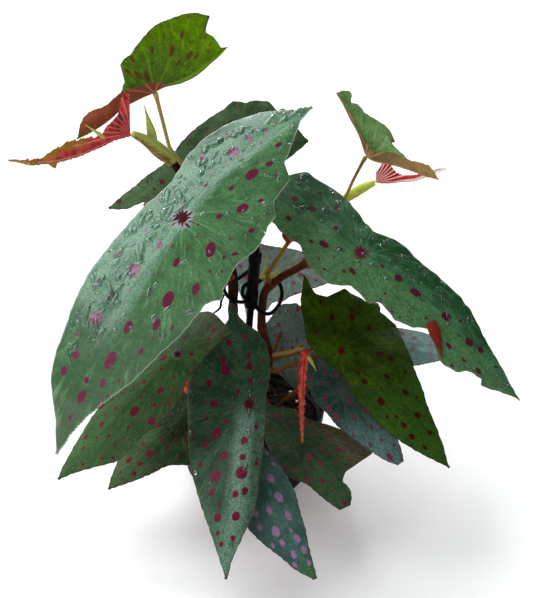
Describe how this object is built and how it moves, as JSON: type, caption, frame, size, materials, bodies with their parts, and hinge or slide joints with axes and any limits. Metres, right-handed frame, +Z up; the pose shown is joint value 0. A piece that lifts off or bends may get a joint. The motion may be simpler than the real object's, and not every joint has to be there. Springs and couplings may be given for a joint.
{
  "type": "potted begonia amphioxus",
  "caption": "Small bushy begonia with long pointed, red-spotted green leaves on thin canes, staked in a round black nursery pot.",
  "frame": {"origin": "centre of the pot's underside, where it stands", "axes": "+Z up along the pot's axis, -Y towards the side the picture shows, +X to the right in it"},
  "size_m": [0.2596, 0.2299, 0.2485],
  "materials": {
    "pot": "satin black, with a few fine scratches",
    "potting_mix": "damp dark bark and peat crumbs with white perlite",
    "cane_left": "satin brown bark with paler joints",
    "cane_right": "satin brown bark with paler joints",
    "stake": "black, slightly glossy",
    "support_clip": "black, glossy",
    "leaf_front_left": "satin wet green with crimson spots and a pale margin, red underside",
    "leaf_front_right": "satin wet green with crimson spots and a pale margin, red underside",
    "leaf_back_left": "satin wet green with crimson spots and a pale margin, red underside",
    "leaf_top_left": "young yellow-green, red-brown spots and maroon underside",
    "leaf_top_right": "young green with a brown-maroon underside",
    "leaf_right_low": "dark olive with dark red spots",
    "leaf_front": "satin wet green with crimson spots and a pale margin, red underside",
    "leaf_left_mid": "satin wet green with crimson spots and a pale margin, red underside",
    "leaf_left_low": "satin wet green with crimson spots and a pale margin, red underside",
    "leaf_front_low": "satin blue-green with pink-crimson spots, red underside",
    "leaf_right_front": "satin wet green with crimson spots and a pale margin, red underside",
    "leaf_right_mid": "satin blue-green with pink-crimson spots, red underside",
    "leaf_back_mid": "satin blue-green with pink-crimson spots, red underside",
    "leaf_back_low": "satin blue-green with pink-crimson spots, red underside",
    "leaf_back_right": "satin blue-green with pink-crimson spots, red underside",
    "leaf_rear_left": "satin wet green with crimson spots and a pale margin, red underside",
    "leaf_rear_right": "satin wet green with crimson spots and a pale margin, red underside",
    "young_leaf_left": "glossy crimson young leaf with paler veins",
    "young_leaf_right": "glossy crimson young leaf with paler veins",
    "young_leaf_low": "glossy crimson young leaf with paler veins",
    "young_leaf_base": "glossy crimson young leaf with paler veins",
    "shoot_left": "satin, fresh yellow-green",
    "shoot_right": "satin, fresh yellow-green",
    "shoot_low": "satin ochre-brown",
    "shoot_base": "satin ochre-brown"
  },
  "bodies": {
    "root": {"pot": "pot", "potting_mix": "potting_mix", "cane_left": "cane_left", "cane_right": "cane_right", "stake": "stake", "support_clip": "support_clip", "leaf_front_left": "leaf_front_left", "leaf_front_right": "leaf_front_right", "leaf_back_left": "leaf_back_left", "leaf_top_left": "leaf_top_left", "leaf_top_right": "leaf_top_right", "leaf_right_low": "leaf_right_low", "leaf_front": "leaf_front", "leaf_left_mid": "leaf_left_mid", "leaf_left_low": "leaf_left_low", "leaf_front_low": "leaf_front_low", "leaf_right_front": "leaf_right_front", "leaf_right_mid": "leaf_right_mid", "leaf_back_mid": "leaf_back_mid", "leaf_back_low": "leaf_back_low", "leaf_back_right": "leaf_back_right", "leaf_rear_left": "leaf_rear_left", "leaf_rear_right": "leaf_rear_right", "young_leaf_left": "young_leaf_left", "young_leaf_right": "young_leaf_right", "young_leaf_low": "young_leaf_low", "young_leaf_base": "young_leaf_base", "shoot_left": "shoot_left", "shoot_right": "shoot_right", "shoot_low": "shoot_low", "shoot_base": "shoot_base"}
  },
  "joints": []
}
